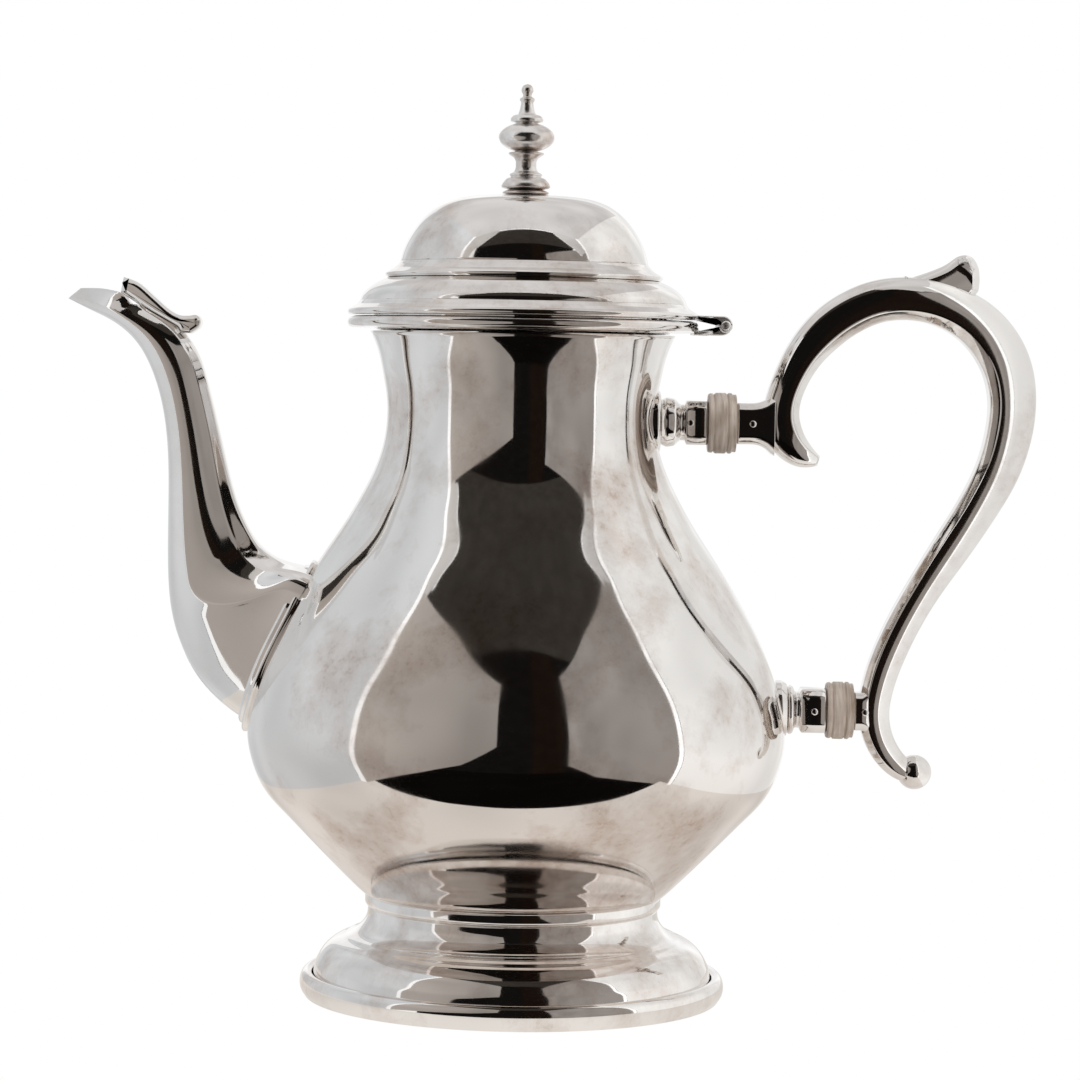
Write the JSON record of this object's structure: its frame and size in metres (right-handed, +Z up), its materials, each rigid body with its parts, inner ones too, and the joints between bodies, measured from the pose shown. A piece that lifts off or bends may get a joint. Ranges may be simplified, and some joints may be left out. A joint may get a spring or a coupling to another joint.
{
  "type": "coffee pot",
  "caption": "Footed pear-shaped coffee pot with panelled swan-neck spout, insulated scroll handle and a hinged domed lid with turned finial.",
  "frame": {"origin": "centre of the foot's flat resting face, on the axis of the body, on the table plane", "axes": "+Z up along the body's axis, -X towards the spout, +X towards the handle; the hinge pin lies along Y"},
  "size_m": [0.2714, 0.1504, 0.255],
  "materials": {
    "silver_plate": "polished silver plate with light hand wear",
    "insulator_ivory": "turned ivory-coloured heat insulator, satin",
    "brass": "turned brass, inside the lid"
  },
  "bodies": {
    "pot": {"body_shell": "silver_plate", "mouth_rim": "silver_plate", "foot_collar": "silver_plate", "foot_pedestal": "silver_plate", "foot_rim": "silver_plate", "spout_tube": "silver_plate", "spout_flange": "silver_plate", "spout_scroll": "silver_plate", "upper_boss": "silver_plate", "upper_socket": "silver_plate", "upper_insulator": "insulator_ivory", "lower_boss": "silver_plate", "lower_socket": "silver_plate", "lower_insulator": "insulator_ivory", "handle": "silver_plate", "thumb_spur": "silver_plate", "rivet_pins": "silver_plate", "hinge_body_leaf": "silver_plate", "hinge_pin": "silver_plate"},
    "lid": {"hinge_lid_leaf": "silver_plate", "lid_dome": "silver_plate", "lid_step": "silver_plate", "lid_skirt": "silver_plate", "lid_flange": "silver_plate", "lid_bezel": "silver_plate", "finial_seat": "silver_plate", "finial_knob": "silver_plate", "finial_stud": "brass", "finial_washer": "brass", "finial_nut": "brass"}
  },
  "joints": [
    {"name": "lid_hinge", "type": "hinge", "parent": "pot", "child": "lid", "pos_m": [0.0562, 0, 0.18815], "axis": [0, 1, 0], "range_deg": [0, 100]}
  ]
}
